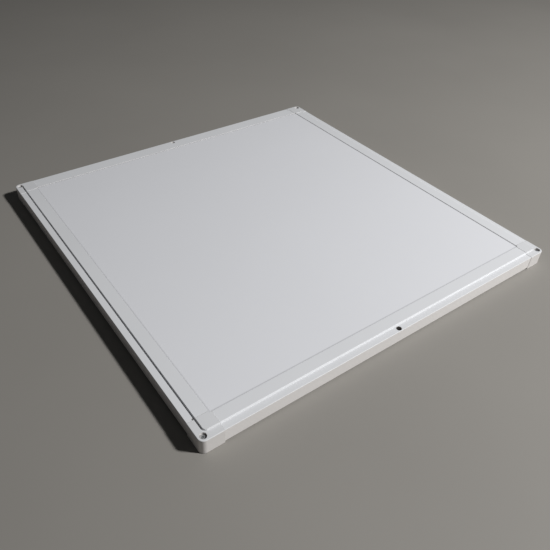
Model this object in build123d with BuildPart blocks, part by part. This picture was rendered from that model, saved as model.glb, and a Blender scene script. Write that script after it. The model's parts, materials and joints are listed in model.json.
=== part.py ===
"""Square direct-lit LED ceiling panel: extruded frame, corner blocks, diffuser, LED bars and mounting ears.

Millimetres, +Z up, lit face up. The origin is the centre of the square on the plane that the corner
blocks' feet stand on. The front rail runs along X on the -Y side.
"""

from build123d import *
import math
import os

os.makedirs("parts", exist_ok=True)

# ---------------------------------------------------------------- overall size
PANEL = 595.0
HALF = PANEL / 2
BLOCK = 30.0
BLOCK_PROUD = 0.4
BLOCK_RISE = 0.35
BLOCK_END_CHAMFER = 0.3
RAIL_OUT = HALF - BLOCK_PROUD
SEAM_GAP = 0.15
RAIL_LENGTH = PANEL - 2 * (BLOCK + SEAM_GAP)

# ---------------------------------------------------------------- heights above the feet
RAIL_BOTTOM = 2.4
BASE_TOP = 3.8
PLATE_BOTTOM = 3.9
PLATE_TOP = 4.6
FIN_BOTTOM = 4.8
FIN_TOP = 5.8
SHELF_BOTTOM = 19.8
SHELF_TOP = 21.0
GASKET_TOP = 22.15
DIFFUSER_TOP = 23.65
FLANGE_TOP = 22.3
LIP_UNDER = 23.7
LIP_TOP = 24.3
BLOCK_FLANGE_TOP = FLANGE_TOP + BLOCK_RISE
BLOCK_LIP_TOP = LIP_TOP + BLOCK_RISE

# ---------------------------------------------------------------- rail section, inward from its outer face
WALL = 1.2
STEP_FOOT = 9.4
STEP_HEAD = 10.4
LIP_REACH = 27.0
INNER_WALL = 13.0
SHELF_REACH = 19.0
FIN_REACH = 17.0
BASE_REACH = 24.0

# Each corner of the section: inward distance, height, rounding radius
RAIL_SECTION = [
    (0, RAIL_BOTTOM, 0.9),
    (0, FLANGE_TOP, 0.5),
    (STEP_FOOT, FLANGE_TOP, 0.2),
    (STEP_HEAD, LIP_TOP, 0.3),
    (LIP_REACH, LIP_TOP, 0.12),
    (LIP_REACH, LIP_UNDER, 0.1),
    (INNER_WALL, LIP_UNDER, 0.2),
    (INNER_WALL, SHELF_TOP, 0.2),
    (SHELF_REACH, SHELF_TOP, 0.3),
    (SHELF_REACH, SHELF_BOTTOM, 0.3),
    (INNER_WALL, SHELF_BOTTOM, 0.8),
    (INNER_WALL, FIN_TOP, 0.3),
    (FIN_REACH, FIN_TOP, 0.3),
    (FIN_REACH, FIN_BOTTOM, 0.3),
    (INNER_WALL, FIN_BOTTOM, 0),
    (INNER_WALL, BASE_TOP, 0),
    (BASE_REACH, BASE_TOP, 0.3),
    (BASE_REACH, RAIL_BOTTOM, 0.5),
]
RAIL_CHAMBER = [
    (WALL, BASE_TOP, 0.3),
    (WALL, FLANGE_TOP - WALL, 0.3),
    (STEP_FOOT + 1.3, FLANGE_TOP - WALL, 0.3),
    (INNER_WALL - WALL, LIP_UNDER - 0.3, 0.3),
    (INNER_WALL - WALL, BASE_TOP, 0.3),
]

# ---------------------------------------------------------------- corner blocks and their screws
CORNER_RADIUS = 7.5
SCREW_INSET = 7.0
SCREW_WELL = 8.6
SCREW_SEAT = 18.4
SCREW_SHANK = 3.0
SCREW_HEAD = 7.6
SCREW_TOP = SCREW_SEAT + 2.4
SCREW_SHOULDER = SCREW_TOP - 0.9
SPIGOT_LENGTH = 20.0
SPIGOT_CLEARANCE = 0.2
NUT_SIZE = 5.5
NUT_HEIGHT = 1.8
TAB_WIDTH = 9.6
TAB_SPAN = 16.0
TAB_INSET = SCREW_INSET + TAB_SPAN / 2 * math.sqrt(0.5)

# ---------------------------------------------------------------- holes in the rails
FIXING_HOLE = 7.4
FIXING_FROM_CENTRE = 292.5
FIXING_ALONG = -3.5
NOTCH_WIDTH = 2.6
NOTCH_LENGTH = 2.2
EAR_PIVOT_FROM_CENTRE = RAIL_OUT - 7.0
EAR_PIVOT_ALONG = 180.0

# ---------------------------------------------------------------- mounting ears
EAR_REACH = 26.0
EAR_WIDTH = 12.0
EAR_BOTTOM = 1.0
EAR_TOP = 2.0
EAR_EYELET = 5.0
PIVOT_SHANK = 4.0
PIVOT_FIT = 0.05
WASHER_BOTTOM = 2.05
WASHER_DIAMETER = 8.4

# ---------------------------------------------------------------- LED bars
BAR_COUNT = 9
LED_PITCH = 60.0
BAR_LENGTH = 506.0
BAR_WIDTH = 12.0
BAR_TOP = PLATE_TOP + 1.0
CHIP_SIZE = 3.0
CHIP_HEIGHT = 0.7
LENS_RADIUS = 6.5
LENS_HEIGHT = 5.0
RIVET_X = (-210.0, 30.0, 210.0)
RIVET_HOLE = 3.3
RIVET_HEAD_TOP = BAR_TOP + 1.2
TAIL_BOTTOM = 2.9
POST_OFFSET = 90.0
POST_SHANK = 4.0

# ---------------------------------------------------------------- reflector sheet
REFLECTOR_BOTTOM = 7.0
REFLECTOR_TOP = SHELF_BOTTOM - 0.3
REFLECTOR_SHEET = 0.3
REFLECTOR_FLAT = 504.0
REFLECTOR_MOUTH = 555.0

# ---------------------------------------------------------------- back plate ribs
RIB_X = (-150.0, -60.0, 60.0, 150.0)
RIB_LENGTH = 420.0
RIB_WIDTH = 14.0
RIB_DEPTH = 1.2

# ---------------------------------------------------------------- bus board, leads and inlet
BUS_X = -265.5
BUS_WIDTH = 9.0
BUS_LENGTH = 500.0
LEAD_RADIUS = 0.8
INLET_X = -200.0
INLET_Z = 11.5
INLET_FRONT = 285.5
INLET_BACK = 295.7
INLET_NOSE = 9.0
INLET_BORE = 6.4
TERMINAL_SPREAD = 3.0
TERMINAL_TIP = 281.0

CORNER = Plane(origin=(-HALF, -HALF, 0))
DIAGONAL = Plane(origin=(-HALF, -HALF, 0), x_dir=(1, 1, 0), z_dir=(1, -1, 0))
OUTWARD = Axis((0, 0, 0), (1, 1, 0))
CORNER_TURNS = {"front_left": 0, "front_right": 90, "rear_right": 180, "rear_left": 270}
SIDE_TURNS = {"right": 90, "rear": 180, "left": 270}
SCREW_POINT = (-HALF + SCREW_INSET, -HALF + SCREW_INSET)
BAR_ROWS = [LED_PITCH * (row - (BAR_COUNT - 1) / 2) for row in range(BAR_COUNT)]
POST_POINTS = [(x, y) for x in (-POST_OFFSET, POST_OFFSET) for y in (-POST_OFFSET, POST_OFFSET)]


def section_corners(section):
    """Points and rounding radii of a section, split for FilletPolyline."""
    points = [(inward, height) for inward, height, radius in section]
    radii = [radius for inward, height, radius in section]
    return points, radii


def dome_middle(radius, base, top):
    """Middle point of a spherical arc from (radius, base) to the axis at height top."""
    rise = top - base
    sphere = (radius**2 + rise**2) / (2 * rise)
    half_angle = math.asin(radius / sphere) / 2
    return sphere * math.sin(half_angle), top - sphere + sphere * math.cos(half_angle)


# ================================================================ rails
# One extrusion serves all four sides. It is drawn on the front side and turned about Z.
outer_points, outer_radii = section_corners(RAIL_SECTION)
chamber_points, chamber_radii = section_corners(RAIL_CHAMBER)
RAIL_PLANE = Plane(origin=(-RAIL_LENGTH / 2, -RAIL_OUT, 0), x_dir=(0, 1, 0), z_dir=(1, 0, 0))

with BuildPart() as rail_stock:
    with BuildSketch(RAIL_PLANE):
        with BuildLine():
            FilletPolyline(*outer_points, radius=outer_radii, close=True)
        make_face()
        with BuildLine():
            FilletPolyline(*chamber_points, radius=chamber_radii, close=True)
        make_face(mode=Mode.SUBTRACT)
    extrude(amount=RAIL_LENGTH)

# Front rail: one open fixing hole through the outer flange and the wall under it
with BuildPart() as front_rail:
    add(rail_stock.part)
    with Locations((FIXING_ALONG, -FIXING_FROM_CENTRE, FLANGE_TOP)):
        Hole(radius=FIXING_HOLE / 2)
front_rail.part.label = "front_rail"
export_step(front_rail.part, "parts/front_rail.step")

# Rear rail: the matching fixing hole, and the openings for the power inlet
with BuildPart() as rear_rail:
    with Locations(Location((0, 0, 0), (0, 0, SIDE_TURNS["rear"]))):
        add(rail_stock.part)
    with Locations((FIXING_ALONG, FIXING_FROM_CENTRE, FLANGE_TOP)):
        Hole(radius=FIXING_HOLE / 2)
    with BuildSketch(Plane(origin=(INLET_X, RAIL_OUT, INLET_Z), x_dir=(-1, 0, 0), z_dir=(0, 1, 0))):
        Circle(INLET_NOSE / 2 + 0.1)
    extrude(amount=-2 * WALL, mode=Mode.SUBTRACT)
    with BuildSketch(Plane(origin=(INLET_X, INLET_FRONT, INLET_Z), x_dir=(-1, 0, 0), z_dir=(0, 1, 0))):
        RectangleRounded(2 * TERMINAL_SPREAD + 5, 5, 1)
    extrude(amount=-2 * WALL, mode=Mode.SUBTRACT)
    with Locations(Plane(origin=(INLET_X, (INLET_FRONT + INLET_BACK) / 2, RAIL_BOTTOM), z_dir=(0, 0, -1))):
        CounterSinkHole(radius=1.4, counter_sink_radius=2.5, depth=2.0)
rear_rail.part.label = "rear_rail"
export_step(rear_rail.part, "parts/rear_rail.step")

# Right rail: two pivot holes for the mounting ears in its bottom wall
with BuildPart() as right_rail:
    with Locations(Location((0, 0, 0), (0, 0, SIDE_TURNS["right"]))):
        add(rail_stock.part)
    with BuildSketch(Plane.XY.offset(RAIL_BOTTOM)):
        with Locations((EAR_PIVOT_FROM_CENTRE, 0)):
            with GridLocations(0, 2 * EAR_PIVOT_ALONG, 1, 2):
                Circle(PIVOT_SHANK / 2 + PIVOT_FIT)
    extrude(amount=BASE_TOP - RAIL_BOTTOM, mode=Mode.SUBTRACT)
right_rail.part.label = "right_rail"
export_step(right_rail.part, "parts/right_rail.step")

# Left rail: the same pivot holes, and a small notch at the step's foot beside the front corner block
with BuildPart() as left_rail:
    with Locations(Location((0, 0, 0), (0, 0, SIDE_TURNS["left"]))):
        add(rail_stock.part)
    with BuildSketch(Plane.XY.offset(RAIL_BOTTOM)):
        with Locations((-EAR_PIVOT_FROM_CENTRE, 0)):
            with GridLocations(0, 2 * EAR_PIVOT_ALONG, 1, 2):
                Circle(PIVOT_SHANK / 2 + PIVOT_FIT)
    extrude(amount=BASE_TOP - RAIL_BOTTOM, mode=Mode.SUBTRACT)
    with BuildSketch(Plane.XY.offset(FLANGE_TOP)):
        with Locations((-RAIL_OUT + STEP_FOOT - NOTCH_WIDTH / 2, -RAIL_LENGTH / 2)):
            Rectangle(NOTCH_WIDTH, 2 * NOTCH_LENGTH)
    extrude(amount=-WALL, mode=Mode.SUBTRACT)
left_rail.part.label = "left_rail"
export_step(left_rail.part, "parts/left_rail.step")

# ================================================================ corner blocks
# Plan of the raised step at its foot and at its head. It bows inward round the screw well.
STEP_LEVELS = [
    (BLOCK_FLANGE_TOP, STEP_FOOT + BLOCK_PROUD, 1.5),
    (BLOCK_LIP_TOP, STEP_HEAD + BLOCK_PROUD, 1.0),
]
ROOM = INNER_WALL + BLOCK_PROUD
SPIGOT_WIDTH = INNER_WALL - 2 * WALL - 2 * SPIGOT_CLEARANCE
SPIGOT_HEIGHT = FLANGE_TOP - WALL - BASE_TOP - 2 * SPIGOT_CLEARANCE
SPIGOT_CENTRE = (BLOCK_PROUD + INNER_WALL / 2, (BASE_TOP + FLANGE_TOP - WALL) / 2)


def inner_square(start):
    """Side and centre of the square between `start` and the block's inner edges, from the corner."""
    return BLOCK - start, (BLOCK + start) / 2


def meets_rail(edge):
    """Edges of the flange, step and lip tops in the two planes where the block meets the rails."""
    tops = [corner.Z > BLOCK_FLANGE_TOP - 0.01 for corner in edge.vertices()]
    for axis in ("X", "Y"):
        flat = [abs(getattr(corner, axis) + HALF - BLOCK) < 0.01 for corner in edge.vertices()]
        if all(tops + flat):
            across = "Y" if axis == "X" else "X"
            return getattr(edge.center(), across) < -HALF + LIP_REACH + BLOCK_PROUD
    return False


with BuildPart() as block_stock:
    # Foot, walls and outer flange
    with BuildSketch(CORNER) as block_plan:
        Rectangle(BLOCK, BLOCK, align=(Align.MIN, Align.MIN))
        fillet(block_plan.vertices().sort_by(OUTWARD)[0], CORNER_RADIUS)
    extrude(amount=BLOCK_FLANGE_TOP)
    top_rim = block_stock.faces().sort_by(Axis.Z)[-1].edges()
    fillet(top_rim.filter_by(lambda e: min(e.center().X, e.center().Y) < -HALF + 8), 0.8)
    foot_rim = block_stock.faces().sort_by(Axis.Z)[0].edges()
    fillet(foot_rim.filter_by(lambda e: min(e.center().X, e.center().Y) < -HALF + 8), 0.9)
    # Raised step
    for height, edge, bow in STEP_LEVELS:
        with BuildSketch(CORNER.offset(height)):
            with BuildLine():
                FilletPolyline(
                    (BLOCK, BLOCK),
                    (edge, BLOCK),
                    (edge, edge + 3.4),
                    (edge + bow, edge + bow),
                    (edge + 3.4, edge),
                    (BLOCK, edge),
                    radius=[0, 0, 2, 3, 2, 0],
                    close=True,
                )
            make_face()
    loft(ruled=True)
    # Room for the back plate and the lamps' space, from the foot up to the diffuser shelf
    side, centre = inner_square(ROOM)
    with BuildSketch(CORNER.offset(BASE_TOP)):
        with Locations((centre, centre)):
            Rectangle(side, side)
    extrude(amount=SHELF_BOTTOM - BASE_TOP, mode=Mode.SUBTRACT)
    # Slot for the gasket and the diffuser's corner
    with BuildSketch(CORNER.offset(SHELF_TOP)):
        with Locations((centre, centre)):
            Rectangle(side, side)
    extrude(amount=LIP_UNDER - SHELF_TOP, mode=Mode.SUBTRACT)
    # Inner edge of the shelf
    side, centre = inner_square(SHELF_REACH + BLOCK_PROUD)
    with BuildSketch(CORNER.offset(SHELF_BOTTOM)):
        with Locations((centre, centre)):
            Rectangle(side, side)
    extrude(amount=SHELF_TOP - SHELF_BOTTOM, mode=Mode.SUBTRACT)
    # Inner corner of the lip
    side, centre = inner_square(LIP_REACH + BLOCK_PROUD)
    with BuildSketch(CORNER.offset(LIP_UNDER)):
        with Locations((centre, centre)):
            Rectangle(side, side)
    extrude(amount=BLOCK_LIP_TOP - LIP_UNDER, mode=Mode.SUBTRACT)
    # Slot for the back plate's corner tab
    with BuildSketch(CORNER.offset(BASE_TOP)):
        with Locations((TAB_INSET, TAB_INSET)):
            SlotCenterToCenter(TAB_SPAN, TAB_WIDTH + 0.6, rotation=45)
    extrude(amount=FIN_BOTTOM - BASE_TOP, mode=Mode.SUBTRACT)
    # Nut pocket from below
    with BuildSketch(CORNER):
        with Locations((SCREW_INSET, SCREW_INSET)):
            Rectangle(NUT_SIZE + 0.3, NUT_SIZE + 0.3)
    extrude(amount=BASE_TOP, mode=Mode.SUBTRACT)
    # Cored pocket from below in each leg
    with BuildSketch(CORNER):
        with Locations((23.5, 7.2), (7.2, 23.5)):
            Rectangle(8, 8)
    extrude(amount=FLANGE_TOP - 3.2, mode=Mode.SUBTRACT)
    # Screw well and clearance hole
    with Locations((*SCREW_POINT, BLOCK_FLANGE_TOP)):
        CounterBoreHole(
            radius=SCREW_SHANK / 2 + 0.2,
            counter_bore_radius=SCREW_WELL / 2,
            counter_bore_depth=BLOCK_FLANGE_TOP - SCREW_SEAT,
        )
    # Chamfered top edges, a little proud of the rails, where the block meets them
    chamfer(block_stock.edges().filter_by(meets_rail), BLOCK_END_CHAMFER)
    # Hollow spigots that plug into the rails' chambers
    with BuildSketch(Plane(origin=(-HALF + BLOCK, -HALF, 0), x_dir=(0, 1, 0), z_dir=(1, 0, 0))):
        with Locations(SPIGOT_CENTRE):
            Rectangle(SPIGOT_WIDTH, SPIGOT_HEIGHT)
            Rectangle(SPIGOT_WIDTH - 3, SPIGOT_HEIGHT - 3, mode=Mode.SUBTRACT)
    spigot = extrude(amount=SPIGOT_LENGTH)
    mirror(spigot, about=DIAGONAL)

for name, turn in CORNER_TURNS.items():
    with BuildPart() as corner_block:
        with Locations(Location((0, 0, 0), (0, 0, turn))):
            add(block_stock.part)
    corner_block.part.label = f"corner_block_{name}"
    export_step(corner_block.part, f"parts/corner_block_{name}.step")

# ================================================================ corner screws and nuts
with BuildPart() as screw_stock:
    with BuildSketch(Plane.XZ):
        with BuildLine():
            Polyline(
                (0, 0.8),
                (SCREW_SHANK / 2 - 0.5, 0.8),
                (SCREW_SHANK / 2, 1.3),
                (SCREW_SHANK / 2, SCREW_SEAT),
                (SCREW_HEAD / 2, SCREW_SEAT),
                (SCREW_HEAD / 2, SCREW_SHOULDER),
            )
            ThreePointArc(
                (SCREW_HEAD / 2, SCREW_SHOULDER),
                dome_middle(SCREW_HEAD / 2, SCREW_SHOULDER, SCREW_TOP),
                (0, SCREW_TOP),
            )
            Line((0, SCREW_TOP), (0, 0.8))
        make_face()
    revolve(axis=Axis.Z)
    with BuildSketch(Plane.XY.offset(SCREW_TOP)):
        Rectangle(3.4, 0.8)
        Rectangle(0.8, 3.4)
    extrude(amount=-1.4, taper=10, mode=Mode.SUBTRACT)

with BuildPart() as nut_stock:
    with BuildSketch(Plane.XY.offset(PLATE_BOTTOM - NUT_HEIGHT)):
        Rectangle(NUT_SIZE, NUT_SIZE)
        Circle(SCREW_SHANK / 2 + 0.05, mode=Mode.SUBTRACT)
    extrude(amount=NUT_HEIGHT)

screw_inset = HALF - SCREW_INSET
SCREW_PLACES = {
    "front_left": (-screw_inset, -screw_inset),
    "front_right": (screw_inset, -screw_inset),
    "rear_right": (screw_inset, screw_inset),
    "rear_left": (-screw_inset, screw_inset),
}
# The cross recess stops at a different angle in each corner
for step, (name, place) in enumerate(SCREW_PLACES.items()):
    with BuildPart() as corner_screw:
        with Locations(Location((*place, 0), (0, 0, 20 + 27 * step))):
            add(screw_stock.part)
    corner_screw.part.label = f"corner_screw_{name}"
    export_step(corner_screw.part, f"parts/corner_screw_{name}.step")

with BuildPart() as corner_nuts:
    with Locations(*SCREW_PLACES.values()):
        add(nut_stock.part)
corner_nuts.part.label = "corner_nuts"
export_step(corner_nuts.part, "parts/corner_nuts.step")

# ================================================================ diffuser and gasket
DIFFUSER_SIDE = 2 * (RAIL_OUT - INNER_WALL - 0.4)
with BuildPart() as diffuser_panel:
    with BuildSketch(Plane.XY.offset(GASKET_TOP)):
        RectangleRounded(DIFFUSER_SIDE, DIFFUSER_SIDE, 0.8)
    extrude(amount=DIFFUSER_TOP - GASKET_TOP)
diffuser_panel.part.label = "diffuser_panel"
export_step(diffuser_panel.part, "parts/diffuser_panel.step")

GASKET_MOUTH = 2 * (RAIL_OUT - SHELF_REACH) + 0.6
with BuildPart() as diffuser_gasket:
    with BuildSketch(Plane.XY.offset(SHELF_TOP)):
        Rectangle(DIFFUSER_SIDE, DIFFUSER_SIDE)
        Rectangle(GASKET_MOUTH, GASKET_MOUTH, mode=Mode.SUBTRACT)
    extrude(amount=GASKET_TOP - SHELF_TOP)
diffuser_gasket.part.label = "diffuser_gasket"
export_step(diffuser_gasket.part, "parts/diffuser_gasket.step")

# ================================================================ back plate
TAB_CENTRE = HALF - TAB_INSET
TAB_PLACES = [
    (-TAB_CENTRE, -TAB_CENTRE, 45),
    (TAB_CENTRE, -TAB_CENTRE, -45),
    (TAB_CENTRE, TAB_CENTRE, 45),
    (-TAB_CENTRE, TAB_CENTRE, -45),
]
with BuildPart() as back_plate:
    with BuildSketch(Plane.XY.offset(PLATE_BOTTOM)):
        RectangleRounded(DIFFUSER_SIDE, DIFFUSER_SIDE, 1.5)
        for x, y, angle in TAB_PLACES:
            with Locations((x, y)):
                SlotCenterToCenter(TAB_SPAN, TAB_WIDTH, rotation=angle)
        with Locations(*SCREW_PLACES.values()):
            Circle(SCREW_SHANK / 2 + 0.3, mode=Mode.SUBTRACT)
        with Locations(*[(x, y) for x in RIVET_X for y in BAR_ROWS]):
            Circle(RIVET_HOLE / 2, mode=Mode.SUBTRACT)
        with Locations(*POST_POINTS):
            Circle(POST_SHANK / 2 + 0.1, mode=Mode.SUBTRACT)
    extrude(amount=PLATE_TOP - PLATE_BOTTOM)
    # Pressed ribs, standing out of the back
    with BuildSketch(Plane.XY.offset(PLATE_BOTTOM)):
        with Locations(*[(x, 0) for x in RIB_X]):
            SlotOverall(RIB_LENGTH, RIB_WIDTH, rotation=90)
    extrude(amount=-RIB_DEPTH, taper=35)
    with BuildSketch(Plane.XY.offset(PLATE_TOP)):
        with Locations(*[(x, 0) for x in RIB_X]):
            SlotOverall(RIB_LENGTH - 1.0, RIB_WIDTH - 1.0, rotation=90)
    extrude(amount=-RIB_DEPTH, taper=35, mode=Mode.SUBTRACT)
back_plate.part.label = "back_plate"
export_step(back_plate.part, "parts/back_plate.step")

# ================================================================ LED bars, chips and lenses
with BuildPart() as chip_stock:
    with BuildSketch(Plane.XY.offset(BAR_TOP)):
        Rectangle(CHIP_SIZE, CHIP_SIZE)
    extrude(amount=CHIP_HEIGHT)
    chamfer(chip_stock.edges().filter_by(Axis.Z).sort_by(OUTWARD)[0], 0.5)
    with BuildSketch(Plane.XY.offset(BAR_TOP + CHIP_HEIGHT)):
        Circle(1.2)
    extrude(amount=-0.15, mode=Mode.SUBTRACT)

# Lens: a dome that spreads the light, with a hollow over the chip, a dimple above it and three feet
LENS_TOP = BAR_TOP + LENS_HEIGHT
LENS_EDGE = BAR_TOP + 2.4
with BuildPart() as lens_stock:
    with BuildSketch(Plane.XZ):
        with BuildLine():
            Polyline(
                (0, BAR_TOP + 3.2),
                (1.2, BAR_TOP + 2.8),
                (2.4, BAR_TOP + 1.0),
                (LENS_RADIUS, BAR_TOP + 1.0),
                (LENS_RADIUS, LENS_EDGE),
            )
            ThreePointArc(
                (LENS_RADIUS, LENS_EDGE),
                dome_middle(LENS_RADIUS, LENS_EDGE, LENS_TOP),
                (0, LENS_TOP),
            )
            Line((0, LENS_TOP), (0, BAR_TOP + 3.2))
        make_face()
    revolve(axis=Axis.Z)
    with BuildSketch(Plane.XZ):
        with BuildLine():
            Polyline((0, LENS_TOP - 0.8), (2.4, LENS_TOP + 0.2), (0, LENS_TOP + 0.2), close=True)
        make_face()
    revolve(axis=Axis.Z, mode=Mode.SUBTRACT)
    with BuildSketch(Plane.XY.offset(BAR_TOP)):
        with PolarLocations(4.6, 3):
            Circle(0.7)
    extrude(amount=1.2)

LED_ROW = GridLocations(LED_PITCH, 0, BAR_COUNT, 1).locations
for number, y in enumerate(BAR_ROWS, start=1):
    with BuildPart() as led_bar:
        with BuildSketch(Plane(origin=(0, y, PLATE_TOP))):
            Rectangle(BAR_LENGTH, BAR_WIDTH)
            with Locations(*[(x, 0) for x in RIVET_X]):
                Circle(RIVET_HOLE / 2, mode=Mode.SUBTRACT)
        extrude(amount=BAR_TOP - PLATE_TOP)
    led_bar.part.label = f"led_bar_{number}"
    export_step(led_bar.part, f"parts/led_bar_{number}.step")

    with BuildPart() as lens_row:
        with Locations(*[(column.position.X, y) for column in LED_ROW]):
            add(lens_stock.part)
    lens_row.part.label = f"lens_row_{number}"
    export_step(lens_row.part, f"parts/lens_row_{number}.step")

with BuildPart() as led_chips:
    with GridLocations(LED_PITCH, LED_PITCH, BAR_COUNT, BAR_COUNT):
        add(chip_stock.part)
led_chips.part.label = "led_chips"
export_step(led_chips.part, "parts/led_chips.step")

# ================================================================ push rivets and diffuser posts
with BuildPart() as rivet_stock:
    with BuildSketch(Plane.XZ):
        with BuildLine():
            Polyline(
                (0, TAIL_BOTTOM),
                (1.4, TAIL_BOTTOM),
                (2.1, PLATE_BOTTOM - 0.5),
                (2.1, PLATE_BOTTOM),
                (RIVET_HOLE / 2 - 0.1, PLATE_BOTTOM),
                (RIVET_HOLE / 2 - 0.1, BAR_TOP),
                (3.0, BAR_TOP),
                (3.0, BAR_TOP + 0.4),
            )
            ThreePointArc(
                (3.0, BAR_TOP + 0.4),
                dome_middle(3.0, BAR_TOP + 0.4, RIVET_HEAD_TOP),
                (0, RIVET_HEAD_TOP),
            )
            Line((0, RIVET_HEAD_TOP), (0, TAIL_BOTTOM))
        make_face()
    revolve(axis=Axis.Z)

with BuildPart() as board_rivets:
    with Locations(*[(x, y) for x in RIVET_X for y in BAR_ROWS]):
        add(rivet_stock.part)
board_rivets.part.label = "board_rivets"
export_step(board_rivets.part, "parts/board_rivets.step")

with BuildPart() as post_stock:
    with BuildSketch(Plane.XZ):
        with BuildLine():
            Polyline(
                (0, TAIL_BOTTOM),
                (1.6, TAIL_BOTTOM),
                (2.5, PLATE_BOTTOM - 0.5),
                (2.5, PLATE_BOTTOM),
                (POST_SHANK / 2, PLATE_BOTTOM),
                (POST_SHANK / 2, PLATE_TOP),
                (5.0, PLATE_TOP),
                (5.0, PLATE_TOP + 1.2),
                (3.4, PLATE_TOP + 1.8),
                (1.2, GASKET_TOP - 1.0),
            )
            ThreePointArc(
                (1.2, GASKET_TOP - 1.0),
                dome_middle(1.2, GASKET_TOP - 1.0, GASKET_TOP - 0.2),
                (0, GASKET_TOP - 0.2),
            )
            Line((0, GASKET_TOP - 0.2), (0, TAIL_BOTTOM))
        make_face()
    revolve(axis=Axis.Z)

with BuildPart() as diffuser_posts:
    with Locations(*POST_POINTS):
        add(post_stock.part)
diffuser_posts.part.label = "diffuser_posts"
export_step(diffuser_posts.part, "parts/diffuser_posts.step")

# ================================================================ reflector sheet
# A thin tray: flat floor with a hole for each lens and post, sides leaning out to the diffuser shelf.
with BuildPart() as reflector_sheet:
    with BuildSketch(Plane.XY.offset(REFLECTOR_BOTTOM)):
        Rectangle(REFLECTOR_FLAT, REFLECTOR_FLAT)
    with BuildSketch(Plane.XY.offset(REFLECTOR_TOP)):
        Rectangle(REFLECTOR_MOUTH, REFLECTOR_MOUTH)
    loft(ruled=True)
    with BuildSketch(Plane.XY.offset(REFLECTOR_BOTTOM + REFLECTOR_SHEET)):
        Rectangle(REFLECTOR_FLAT - 0.6, REFLECTOR_FLAT - 0.6)
    with BuildSketch(Plane.XY.offset(REFLECTOR_TOP + REFLECTOR_SHEET)):
        Rectangle(REFLECTOR_MOUTH - 0.6, REFLECTOR_MOUTH - 0.6)
    loft(ruled=True, mode=Mode.SUBTRACT)
    with BuildSketch(Plane.XY.offset(REFLECTOR_BOTTOM)):
        with GridLocations(LED_PITCH, LED_PITCH, BAR_COUNT, BAR_COUNT):
            Circle(LENS_RADIUS + 0.5)
        with Locations(*POST_POINTS):
            Circle(4.2)
    extrude(amount=2 * REFLECTOR_SHEET, mode=Mode.SUBTRACT)
reflector_sheet.part.label = "reflector_sheet"
export_step(reflector_sheet.part, "parts/reflector_sheet.step")

# ================================================================ bus board, jumpers, header and plug
with BuildPart() as bus_board:
    with BuildSketch(Plane(origin=(BUS_X, 0, PLATE_TOP))):
        Rectangle(BUS_WIDTH, BUS_LENGTH)
        with Locations((0, -210), (0, 30), (0, 210)):
            Circle(1.6, mode=Mode.SUBTRACT)
    extrude(amount=BAR_TOP - PLATE_TOP)
bus_board.part.label = "bus_board"
export_step(bus_board.part, "parts/bus_board.step")

JUMPER_TOP = 6.35
with BuildPart() as jumper_stock:
    with BuildLine() as jumper_path:
        FilletPolyline(
            (-249.5, 0, BAR_TOP),
            (-249.5, 0, JUMPER_TOP),
            (BUS_X + 2, 0, JUMPER_TOP),
            (BUS_X + 2, 0, BAR_TOP),
            radius=0.7,
        )
    with BuildSketch(Plane(origin=(-249.5, 0, BAR_TOP))):
        Circle(0.4)
    sweep()

with BuildPart() as bar_jumpers:
    with Locations(*[(0, y + offset) for y in BAR_ROWS for offset in (-3, 3)]):
        add(jumper_stock.part)
bar_jumpers.part.label = "bar_jumpers"
export_step(bar_jumpers.part, "parts/bar_jumpers.step")

HEADER_Y = 225.0
with BuildPart() as lead_header:
    with BuildSketch(Plane(origin=(BUS_X, HEADER_Y, BAR_TOP))):
        Rectangle(8.0, 8.0)
    extrude(amount=4.6)
    with BuildSketch(Plane(origin=(BUS_X, HEADER_Y + 4, BAR_TOP + 2.3), x_dir=(-1, 0, 0), z_dir=(0, 1, 0))):
        Rectangle(6.8, 3.4)
    extrude(amount=-6.6, mode=Mode.SUBTRACT)
lead_header.part.label = "lead_header"
export_step(lead_header.part, "parts/lead_header.step")

with BuildPart() as lead_plug:
    with BuildSketch(Plane(origin=(BUS_X, HEADER_Y - 2, BAR_TOP + 2.3), x_dir=(-1, 0, 0), z_dir=(0, 1, 0))):
        Rectangle(6.4, 3.0)
    extrude(amount=9.0)
    with BuildSketch(Plane(origin=(BUS_X, HEADER_Y + 5.2, BAR_TOP + 3.8))):
        Rectangle(3.0, 2.0)
    extrude(amount=0.7)
lead_plug.part.label = "lead_plug"
export_step(lead_plug.part, "parts/lead_plug.step")

# ================================================================ supply leads
# Each lead leaves its terminal toward the panel's middle, drops to the back plate and runs to the plug.
PLUG_BACK = HEADER_Y + 7.0
PLUG_Z = BAR_TOP + 2.3
LEADS = {
    "supply_lead_red": [
        (INLET_X - TERMINAL_SPREAD, TERMINAL_TIP, INLET_Z),
        (INLET_X - TERMINAL_SPREAD, 273.0, INLET_Z),
        (INLET_X - 12.0, 268.5, 6.4),
        (-248.0, 268.5, 6.4),
        (BUS_X - 1.6, 256.0, PLUG_Z),
        (BUS_X - 1.6, PLUG_BACK, PLUG_Z),
    ],
    "supply_lead_black": [
        (INLET_X + TERMINAL_SPREAD, TERMINAL_TIP, INLET_Z),
        (INLET_X + TERMINAL_SPREAD, 271.0, INLET_Z),
        (INLET_X - 8.0, 265.5, 6.4),
        (-246.5, 265.5, 6.4),
        (BUS_X + 1.6, 252.5, PLUG_Z),
        (BUS_X + 1.6, PLUG_BACK, PLUG_Z),
    ],
}


def corner_radii(points):
    """Largest arcs that the runs on either side of each inner point allow."""
    vectors = [Vector(*p) for p in points]
    radii = []
    for before, here, after in zip(vectors, vectors[1:], vectors[2:]):
        turn = math.radians((here - before).get_angle(after - here))
        shorter = min((here - before).length, (after - here).length)
        radii.append(round(0.45 * shorter / math.tan(turn / 2), 2))
    return radii


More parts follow.
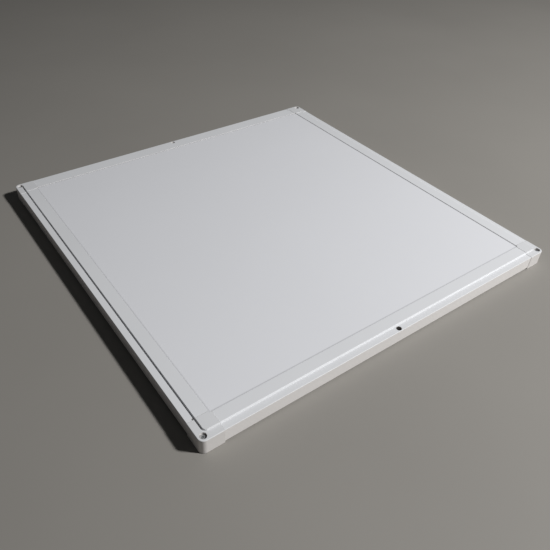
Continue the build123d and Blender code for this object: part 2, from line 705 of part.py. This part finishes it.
for name, route in LEADS.items():
    radii = corner_radii(route)
    print(name, "arc radii", radii)
    with BuildPart() as supply_lead:
        with BuildLine() as lead_path:
            FilletPolyline(*route, radius=radii)
        with BuildSketch(Plane(origin=route[0], z_dir=(0, -1, 0))):
            Circle(LEAD_RADIUS)
        sweep()
    length = sum(edge.length for edge in lead_path.edges())
    print(name, "length", round(length, 1), "volume", round(supply_lead.part.volume, 1))
    supply_lead.part.label = name
    export_step(supply_lead.part, f"parts/{name}.step")

# ================================================================ power inlet
# The body sits in the rear rail's chamber. Its round nose fills the hole in the outer wall.
NOSE_PLANE = Plane(origin=(INLET_X, RAIL_OUT, INLET_Z), x_dir=(-1, 0, 0), z_dir=(0, 1, 0))
BODY_PLANE = Plane(origin=(INLET_X, INLET_BACK, INLET_Z), x_dir=(-1, 0, 0), z_dir=(0, 1, 0))
BODY_DEPTH = INLET_BACK - INLET_FRONT
with BuildPart() as inlet_body:
    with BuildSketch(BODY_PLANE):
        RectangleRounded(14.0, 15.0, 0.8)
    extrude(amount=-BODY_DEPTH)
    with BuildSketch(BODY_PLANE):
        Circle(INLET_NOSE / 2)
    extrude(amount=RAIL_OUT - INLET_BACK)
    with BuildSketch(NOSE_PLANE):
        Circle(INLET_BORE / 2)
    extrude(amount=-9.0, mode=Mode.SUBTRACT)
    with BuildSketch(NOSE_PLANE):
        Circle(1.05)
    extrude(amount=-10.5, mode=Mode.SUBTRACT)
    with BuildSketch(BODY_PLANE.offset(-BODY_DEPTH)):
        with Locations((-TERMINAL_SPREAD, 0), (TERMINAL_SPREAD, 0)):
            Rectangle(2.5, 1.9)
    extrude(amount=1.0, mode=Mode.SUBTRACT)
    with BuildSketch(Plane(origin=(INLET_X, (INLET_FRONT + INLET_BACK) / 2, INLET_Z - 7.5))):
        Circle(1.15)
    extrude(amount=3.2, mode=Mode.SUBTRACT)
inlet_body.part.label = "inlet_body"
export_step(inlet_body.part, "parts/inlet_body.step")

with BuildPart() as inlet_pin:
    with BuildSketch(NOSE_PLANE.offset(-10.5)):
        Circle(1.0)
    extrude(amount=9.5)
    fillet(inlet_pin.faces().sort_by(Axis.Y)[-1].edges(), 0.5)
inlet_pin.part.label = "inlet_pin"
export_step(inlet_pin.part, "parts/inlet_pin.step")

with BuildPart() as inlet_terminals:
    with BuildSketch(Plane(origin=(INLET_X, TERMINAL_TIP, INLET_Z), x_dir=(-1, 0, 0), z_dir=(0, 1, 0))):
        with Locations((-TERMINAL_SPREAD, 0), (TERMINAL_SPREAD, 0)):
            Rectangle(2.2, 1.6)
    extrude(amount=INLET_FRONT + 1.0 - TERMINAL_TIP)
inlet_terminals.part.label = "inlet_terminals"
export_step(inlet_terminals.part, "parts/inlet_terminals.step")

with BuildPart() as inlet_screw:
    with BuildSketch(Plane.XZ):
        with BuildLine():
            Polyline(
                (0, RAIL_BOTTOM),
                (2.3, RAIL_BOTTOM),
                (2.3, RAIL_BOTTOM + 0.15),
                (1.1, RAIL_BOTTOM + 1.35),
                (1.1, RAIL_BOTTOM + 4.2),
                (0.6, RAIL_BOTTOM + 4.7),
                (0, RAIL_BOTTOM + 4.7),
                close=True,
            )
        make_face()
    revolve(axis=Axis.Z)
    with BuildSketch(Plane.XY.offset(RAIL_BOTTOM)):
        Rectangle(2.4, 0.6)
        Rectangle(0.6, 2.4)
    extrude(amount=0.8, taper=15, mode=Mode.SUBTRACT)
inlet_screw_place = Location((INLET_X, (INLET_FRONT + INLET_BACK) / 2, 0))
inlet_screw.part.locate(inlet_screw_place)
inlet_screw.part.label = "inlet_screw"
export_step(inlet_screw.part, "parts/inlet_screw.step")

# ================================================================ mounting ears
# Flat steel ears parked under the left and right rails. Each one swings outward on its rivet.
with BuildPart() as ear_stock:
    with BuildSketch(Plane.XY.offset(EAR_BOTTOM)):
        with Locations((0, EAR_REACH / 2)):
            SlotCenterToCenter(EAR_REACH, EAR_WIDTH, rotation=90)
        Circle(PIVOT_SHANK / 2 + PIVOT_FIT, mode=Mode.SUBTRACT)
        with Locations((0, EAR_REACH - 1.0)):
            SlotCenterToCenter(3.0, EAR_EYELET, rotation=90, mode=Mode.SUBTRACT)
    extrude(amount=EAR_TOP - EAR_BOTTOM)
    fillet(ear_stock.faces().sort_by(Axis.Z)[0].outer_wire().edges(), 0.25)

# Place and parked direction of each ear
EARS = {
    "front_left": ((-EAR_PIVOT_FROM_CENTRE, -EAR_PIVOT_ALONG), 0),
    "front_right": ((EAR_PIVOT_FROM_CENTRE, -EAR_PIVOT_ALONG), 0),
    "rear_right": ((EAR_PIVOT_FROM_CENTRE, EAR_PIVOT_ALONG), 180),
    "rear_left": ((-EAR_PIVOT_FROM_CENTRE, EAR_PIVOT_ALONG), 180),
}
for name, (place, turn) in EARS.items():
    with BuildPart() as mount_ear:
        with Locations(Location((*place, 0), (0, 0, turn))):
            add(ear_stock.part)
    mount_ear.part.label = f"mount_ear_{name}"
    export_step(mount_ear.part, f"parts/mount_ear_{name}.step")

PIVOT_PLACES = [place for place, turn in EARS.values()]
with BuildPart() as ear_rivet_stock:
    with BuildSketch(Plane.XZ):
        with BuildLine():
            Polyline((0, 0.3), (2.6, 0.3))
            ThreePointArc((2.6, 0.3), (3.3, 0.5), (3.6, 0.95))
            Polyline(
                (3.6, 0.95),
                (PIVOT_SHANK / 2, 0.95),
                (PIVOT_SHANK / 2, BASE_TOP),
                (2.9, BASE_TOP),
                (2.9, BASE_TOP + 1.0),
                (2.3, BASE_TOP + 1.6),
                (0, BASE_TOP + 1.6),
                (0, 0.3),
            )
        make_face()
    revolve(axis=Axis.Z)

with BuildPart() as ear_rivets:
    with Locations(*PIVOT_PLACES):
        add(ear_rivet_stock.part)
ear_rivets.part.label = "ear_rivets"
export_step(ear_rivets.part, "parts/ear_rivets.step")

with BuildPart() as ear_washers:
    with BuildSketch(Plane.XY.offset(WASHER_BOTTOM)):
        with Locations(*PIVOT_PLACES):
            Circle(WASHER_DIAMETER / 2)
            Circle(PIVOT_SHANK / 2 + PIVOT_FIT, mode=Mode.SUBTRACT)
    extrude(amount=RAIL_BOTTOM - WASHER_BOTTOM)
ear_washers.part.label = "ear_washers"
export_step(ear_washers.part, "parts/ear_washers.step")

# ================================================================ rating label
with BuildPart() as rating_label:
    with BuildSketch(Plane(origin=(0, -30, PLATE_BOTTOM - 0.1))):
        RectangleRounded(84, 40, 2)
    extrude(amount=0.1)
rating_label.part.label = "rating_label"
export_step(rating_label.part, "parts/rating_label.step")
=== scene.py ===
"""Looks, floor, light and camera for the led panel light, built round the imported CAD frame."""

import json
import math

import bpy
from mathutils import Euler, Matrix, Vector


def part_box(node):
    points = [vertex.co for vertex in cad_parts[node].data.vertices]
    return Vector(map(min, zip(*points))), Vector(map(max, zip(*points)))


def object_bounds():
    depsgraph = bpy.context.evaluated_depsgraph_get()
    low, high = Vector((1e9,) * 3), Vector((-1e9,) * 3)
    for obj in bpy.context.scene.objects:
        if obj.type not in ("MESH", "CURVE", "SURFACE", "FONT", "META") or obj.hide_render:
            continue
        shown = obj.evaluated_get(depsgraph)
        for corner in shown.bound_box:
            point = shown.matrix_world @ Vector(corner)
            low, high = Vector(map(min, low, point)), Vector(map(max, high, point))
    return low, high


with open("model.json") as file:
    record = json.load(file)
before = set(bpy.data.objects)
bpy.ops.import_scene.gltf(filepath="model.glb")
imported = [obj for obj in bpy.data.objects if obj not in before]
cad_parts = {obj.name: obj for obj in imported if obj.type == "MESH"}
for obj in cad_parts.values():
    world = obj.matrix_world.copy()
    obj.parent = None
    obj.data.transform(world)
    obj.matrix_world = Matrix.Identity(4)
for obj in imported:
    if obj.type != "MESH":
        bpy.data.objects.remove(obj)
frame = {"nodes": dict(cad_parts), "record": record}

CAD_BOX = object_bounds()
NODES = frame["nodes"]
scene = bpy.context.scene
scene.view_settings.view_transform = "Standard"

# ---------------------------------------------------------------- camera
# Place in metres, angles in degrees, sensor and lens in millimetres, shift in parts of the picture's width.
CAMERA_PLACE = (-0.46384, -0.60658, 0.54570)
CAMERA_TILT = 49.857
CAMERA_ROLL = -1.685
CAMERA_TURN = -35.184
CAMERA_SENSOR = 36.0
CAMERA_LENS = 38.3367
CAMERA_SHIFT = (0.033273, -0.000545)
CAMERA_NEAR = 0.01
CAMERA_FAR = 50.0

# ---------------------------------------------------------------- light
# Distances and sizes in metres, power in watts.
KEY_DIRECTION = Vector((0.47, -0.58, 0.665)).normalized()
KEY_DISTANCE = 3.2
KEY_SIZE = 0.28
KEY_POWER = 104.5
UNDER_DIRECTION = Vector((0, 0, -1))
UNDER_DISTANCE = 1.2
UNDER_SIZE = 1.0
UNDER_POWER = 14.0
AMBIENT_COLOUR = (0.92, 0.96, 1.0)
AMBIENT_STRENGTH = 0.04

# ---------------------------------------------------------------- floor
# The opening's edge is this far inside the panel's outer edge, in metres.
OPENING_INSET = 0.005
FLOOR_SIDE = 12.0
FLOOR_COLOUR = (0.288, 0.273, 0.250)

# ---------------------------------------------------------------- finishes
# Noise values mostly lie between these two.
NOISE_LOW = 0.3
NOISE_HIGH = 0.7
LEAST_ROUGHNESS = 0.02
# Painted light: upright faces take a warmer tint than level ones, standing in for the warmer light that
# falls on them.
# How far a face's normal points up or down, from 0 to 1, where it takes all of the tint and none of it.
UPRIGHT_PAINTED_LIGHT_TINT = (1.0, 0.957, 0.914)
UPRIGHT_FULL = 0.1
UPRIGHT_NONE = 0.4
# The diffuser's visible edge is where the rails' lip ends, measured from the middle.
SHEET_EDGE = -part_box("left_rail")[1][0]
# Painted shade: the diffuser is darkened over this width before its visible edge, standing in for the light
# it loses under the lip.
SHEET_EDGE_WIDTH = 0.0025
SHEET_EDGE_PAINTED_SHADE = (0.65, 0.65, 0.65)
EAR_STREAKS = (8, 0.6, 1)


def set_camera():
    """Places the camera at the photograph's viewing angle."""
    angles = [math.radians(angle) for angle in (CAMERA_TILT, CAMERA_ROLL, CAMERA_TURN)]
    data = bpy.data.cameras.new("camera")
    data.sensor_width = CAMERA_SENSOR
    data.lens = CAMERA_LENS
    data.shift_x, data.shift_y = CAMERA_SHIFT
    data.clip_start, data.clip_end = CAMERA_NEAR, CAMERA_FAR
    camera = bpy.data.objects.new("camera", data)
    camera.matrix_world = Matrix.Translation(CAMERA_PLACE) @ Euler(angles).to_matrix().to_4x4()
    scene.collection.objects.link(camera)
    scene.camera = camera


def area_light(name, direction, distance, size, power):
    """A square lamp that stands off from the origin and faces it."""
    data = bpy.data.lights.new(name, "AREA")
    data.size = size
    data.energy = power
    light = bpy.data.objects.new(name, data)
    light.location = direction * distance
    light.rotation_euler = direction.to_track_quat("Z", "Y").to_euler()
    scene.collection.objects.link(light)


def set_light():
    """One soft key light, a weak ambient, and a lamp under the floor's opening for views from below."""
    area_light("key", KEY_DIRECTION, KEY_DISTANCE, KEY_SIZE, KEY_POWER)
    area_light("under", UNDER_DIRECTION, UNDER_DISTANCE, UNDER_SIZE, UNDER_POWER)
    world = bpy.data.worlds.new("studio")
    world.use_nodes = True
    background = world.node_tree.nodes["Background"]
    background.inputs["Color"].default_value = (*AMBIENT_COLOUR, 1)
    background.inputs["Strength"].default_value = AMBIENT_STRENGTH
    scene.world = world


class Recipe:
    """A Principled material and short calls that add procedural variation to it."""

    def __init__(self, name, colour, roughness, metallic=0.0):
        self.material = bpy.data.materials.new(name)
        self.material.use_nodes = True
        self.tree = self.material.node_tree
        self.shader = self.tree.nodes["Principled BSDF"]
        self.colour = colour
        self.roughness = roughness
        self.shader.inputs["Base Color"].default_value = (*colour, 1)
        self.shader.inputs["Roughness"].default_value = roughness
        self.shader.inputs["Metallic"].default_value = metallic
        coordinates = self.tree.nodes.new("ShaderNodeTexCoord")
        self.place = coordinates.outputs["Object"]
        self.facing = coordinates.outputs["Normal"]

    def link(self, output, socket):
        """Joins one node's output to another's socket."""
        self.tree.links.new(output, socket)

    def stretched(self, scale):
        """Object coordinates scaled by axis."""
        mapping = self.tree.nodes.new("ShaderNodeMapping")
        mapping.inputs["Scale"].default_value = scale
        self.link(self.place, mapping.inputs["Vector"])
        return mapping.outputs["Vector"]

    def noise(self, scale, detail, place=None):
        """Cloudy noise, about `scale` blobs to the metre."""
        node = self.tree.nodes.new("ShaderNodeTexNoise")
        node.inputs["Scale"].default_value = scale
        node.inputs["Detail"].default_value = detail
        self.link(place or self.place, node.inputs["Vector"])
        return node.outputs["Fac"]

    def ranged(self, value, low, high, start=NOISE_LOW, end=NOISE_HIGH):
        """Runs from low to high as the value goes from start to end."""
        node = self.tree.nodes.new("ShaderNodeMapRange")
        node.inputs["From Min"].default_value = start
        node.inputs["From Max"].default_value = end
        node.inputs["To Min"].default_value = low
        node.inputs["To Max"].default_value = high
        self.link(value, node.inputs["Value"])
        return node.outputs["Result"]

    def blend(self, factor):
        """A colour mix driven by the factor."""
        mix = self.tree.nodes.new("ShaderNodeMix")
        mix.data_type = "RGBA"
        self.link(factor, mix.inputs["Factor"])
        return mix

    def mottle(self, scale, amount):
        """Base colour drifts between two close shades."""
        mix = self.blend(self.ranged(self.noise(scale, detail=4), 0, 1))
        mix.inputs["A"].default_value = (*[part * (1 - amount) for part in self.colour], 1)
        mix.inputs["B"].default_value = (*[min(1, part * (1 + amount)) for part in self.colour], 1)
        self.link(mix.outputs["Result"], self.shader.inputs["Base Color"])
        return self

    def tinted(self, where, tint):
        """Base colour times the tint, as far as the value `where` goes from 0 to 1."""
        base = self.shader.inputs["Base Color"]
        mix = self.blend(where)
        mix.blend_type = "MULTIPLY"
        self.link(base.links[0].from_socket, mix.inputs["A"])
        mix.inputs["B"].default_value = (*tint, 1)
        self.link(mix.outputs["Result"], base)
        return self

    def split(self, vector):
        """Size of each of a vector's three parts, without its sign."""
        whole = self.tree.nodes.new("ShaderNodeVectorMath")
        whole.operation = "ABSOLUTE"
        self.link(vector, whole.inputs[0])
        parts = self.tree.nodes.new("ShaderNodeSeparateXYZ")
        self.link(whole.outputs["Vector"], parts.inputs["Vector"])
        return parts.outputs

    def painted_upright_light(self, tint):
        """Painted light: faces that stand upright take the warmer tint, standing in for the warmer light
        that falls on them, and level ones don't.
        """
        level = self.split(self.facing)["Z"]
        return self.tinted(self.ranged(level, 1, 0, UPRIGHT_FULL, UPRIGHT_NONE), tint)

    def painted_edge_shade(self, edge, width, tint):
        """Painted shade: a square sheet takes the darkening tint over the last `width` before its visible
        edge.
        """
        parts = self.split(self.place)
        farther = self.tree.nodes.new("ShaderNodeMath")
        farther.operation = "MAXIMUM"
        self.link(parts["X"], farther.inputs[0])
        self.link(parts["Y"], farther.inputs[1])
        return self.tinted(self.ranged(farther.outputs["Value"], 0, 1, edge - width, edge), tint)

    def worn(self, scale, amount):
        """Roughness drifts by the amount, as handled or uneven paint does."""
        low = max(LEAST_ROUGHNESS, self.roughness - amount)
        high = min(1, self.roughness + amount)
        drift = self.ranged(self.noise(scale, detail=5), low, high)
        self.link(drift, self.shader.inputs["Roughness"])
        return self

    def bump(self, scale, strength, distance, place=None):
        """Fine relief, `distance` metres deep at full strength."""
        node = self.tree.nodes.new("ShaderNodeBump")
        node.inputs["Strength"].default_value = strength
        node.inputs["Distance"].default_value = distance
        self.link(self.noise(scale, detail=2, place=place), node.inputs["Height"])
        self.link(node.outputs["Normal"], self.shader.inputs["Normal"])
        return self

    def see_through_behind(self):
        """Faces seen from their back let everything through."""
        hollow = self.tree.nodes.new("ShaderNodeBsdfTransparent")
        side = self.tree.nodes.new("ShaderNodeNewGeometry")
        mix = self.tree.nodes.new("ShaderNodeMixShader")
        self.link(side.outputs["Backfacing"], mix.inputs[0])
        self.link(self.shader.outputs["BSDF"], mix.inputs[1])
        self.link(hollow.outputs["BSDF"], mix.inputs[2])
        self.link(mix.outputs["Shader"], self.tree.nodes["Material Output"].inputs["Surface"])
        return self


def powder_coat(name, colour):
    """White powder coat on aluminium or steel: satin, with a fine orange peel, and painted warm light on its
    upright faces.
    """
    recipe = Recipe(name, colour, roughness=0.42).mottle(scale=9, amount=0.012)
    recipe.painted_upright_light(UPRIGHT_PAINTED_LIGHT_TINT)
    return recipe.worn(scale=14, amount=0.05).bump(scale=520, strength=0.12, distance=0.0002).material


def block_plastic(name, colour):
    """The corner blocks' moulded plastic, with the rails' painted warm light on its upright faces."""
    recipe = Recipe(name, colour, roughness=0.36).mottle(scale=30, amount=0.015)
    recipe.painted_upright_light(UPRIGHT_PAINTED_LIGHT_TINT)
    return recipe.worn(scale=40, amount=0.05).bump(scale=1400, strength=0.06, distance=0.0001).material


def moulded(name, colour, roughness, grain=0.06):
    """Moulded plastic: a fine spark-eroded grain."""
    recipe = Recipe(name, colour, roughness).mottle(scale=30, amount=0.015)
    return recipe.worn(scale=40, amount=0.05).bump(scale=1400, strength=grain, distance=0.0001).material


def plated(name, colour, roughness, stretch=(1, 1, 1), metallic=1.0):
    """Plated steel with faint drawn or rolled streaks."""
    recipe = Recipe(name, colour, roughness, metallic).mottle(scale=120, amount=0.06)
    recipe.worn(scale=90, amount=0.08)
    streaks = recipe.stretched(stretch)
    return recipe.bump(scale=500, strength=0.15, distance=0.0001, place=streaks).material


def clear(name, colour):
    """Clear moulded lens material."""
    recipe = Recipe(name, colour, roughness=0.08).worn(scale=60, amount=0.03)
    recipe.shader.inputs["Transmission Weight"].default_value = 0.92
    recipe.shader.inputs["IOR"].default_value = 1.49
    return recipe.material


def opal_sheet(name, colour):
    """Opal diffuser sheet: matt, with painted shade at its rim, standing in for the light that leaks out
    sideways there.
    """
    recipe = Recipe(name, colour, roughness=0.55).mottle(scale=5, amount=0.006)
    recipe.painted_edge_shade(SHEET_EDGE, SHEET_EDGE_WIDTH, SHEET_EDGE_PAINTED_SHADE)
    return recipe.worn(scale=60, amount=0.015).bump(scale=1600, strength=0.05, distance=0.0001).material


def foam(name, colour):
    """Open-celled foam strip."""
    recipe = Recipe(name, colour, roughness=0.9).mottle(scale=300, amount=0.08)
    return recipe.bump(scale=900, strength=0.6, distance=0.0004).material


def phosphor(name, colour):
    """The yellow phosphor gel over an LED chip."""
    return Recipe(name, colour, roughness=0.4).mottle(scale=400, amount=0.1).material


MATERIALS = {
    "frame_white": powder_coat("frame_white", (0.787, 0.795, 0.815)),
    "corner_plastic": block_plastic("corner_plastic", (0.743, 0.749, 0.764)),
    "screw_zinc": plated("screw_zinc", (0.52, 0.53, 0.54), roughness=0.5, metallic=0.8),
    "diffuser_opal": opal_sheet("diffuser_opal", (0.806, 0.812, 0.842)),
    "gasket_foam": foam("gasket_foam", (0.70, 0.70, 0.68)),
    "reflector_white": moulded("reflector_white", (0.88, 0.88, 0.88), roughness=0.6),
    "plate_white": powder_coat("plate_white", (0.74, 0.74, 0.72)),
    "board_white": moulded("board_white", (0.85, 0.85, 0.83), roughness=0.35),
    "chip_phosphor": phosphor("chip_phosphor", (0.85, 0.70, 0.18)),
    "lens_clear": clear("lens_clear", (0.95, 0.97, 1.0)),
    "nylon_white": moulded("nylon_white", (0.80, 0.80, 0.75), roughness=0.45),
    "post_clear": clear("post_clear", (0.95, 0.97, 1.0)),
    "jumper_white": moulded("jumper_white", (0.82, 0.82, 0.80), roughness=0.5),
    "lead_red": moulded("lead_red", (0.55, 0.02, 0.015), roughness=0.4),
    "lead_black": moulded("lead_black", (0.015, 0.015, 0.016), roughness=0.4),
    "inlet_black": moulded("inlet_black", (0.02, 0.02, 0.021), roughness=0.45, grain=0.2),
    "contact_metal": plated("contact_metal", (0.72, 0.66, 0.48), roughness=0.25),
    "ear_zinc": plated("ear_zinc", (0.55, 0.56, 0.58), roughness=0.33, stretch=EAR_STREAKS),
    "rivet_steel": plated("rivet_steel", (0.50, 0.51, 0.53), roughness=0.3),
    "label_silver": moulded("label_silver", (0.62, 0.63, 0.64), roughness=0.35),
}


def dress_nodes():
    """Gives each CAD node its slot's material."""
    for entry in frame["record"]["subparts"]:
        node = NODES[entry["node"]]
        node.data.materials.clear()
        node.data.materials.append(MATERIALS[entry["material_slot"]])


def lay_floor():
    """Plain pale floor at the feet, seen from above only.

    The panel covers an opening in it, whose edge turns up to the rails so that no light from below gets out.
    """
    opening = CAD_BOX[1][0] - OPENING_INSET
    rail_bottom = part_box("front_rail")[0][2]
    rings = [(FLOOR_SIDE / 2, 0), (opening, 0), (opening, rail_bottom)]
    corners = [(-1, -1), (1, -1), (1, 1), (-1, 1)]
    count = len(corners)
    vertices = [(x * reach, y * reach, z) for reach, z in rings for x, y in corners]
    sides = [(start + k, start + (k + 1) % count) for start in (0, count) for k in range(count)]
    faces = [(a, b, b + count, a + count) for a, b in sides]
    mesh = bpy.data.meshes.new("floor")
    mesh.from_pydata(vertices, [], faces)
    floor = bpy.data.objects.new("floor", mesh)
    scene.collection.objects.link(floor)
    recipe = Recipe("floor", FLOOR_COLOUR, roughness=0.7).mottle(scale=2.5, amount=0.03)
    mesh.materials.append(recipe.see_through_behind().material)


set_camera()
set_light()
dress_nodes()
lay_floor()
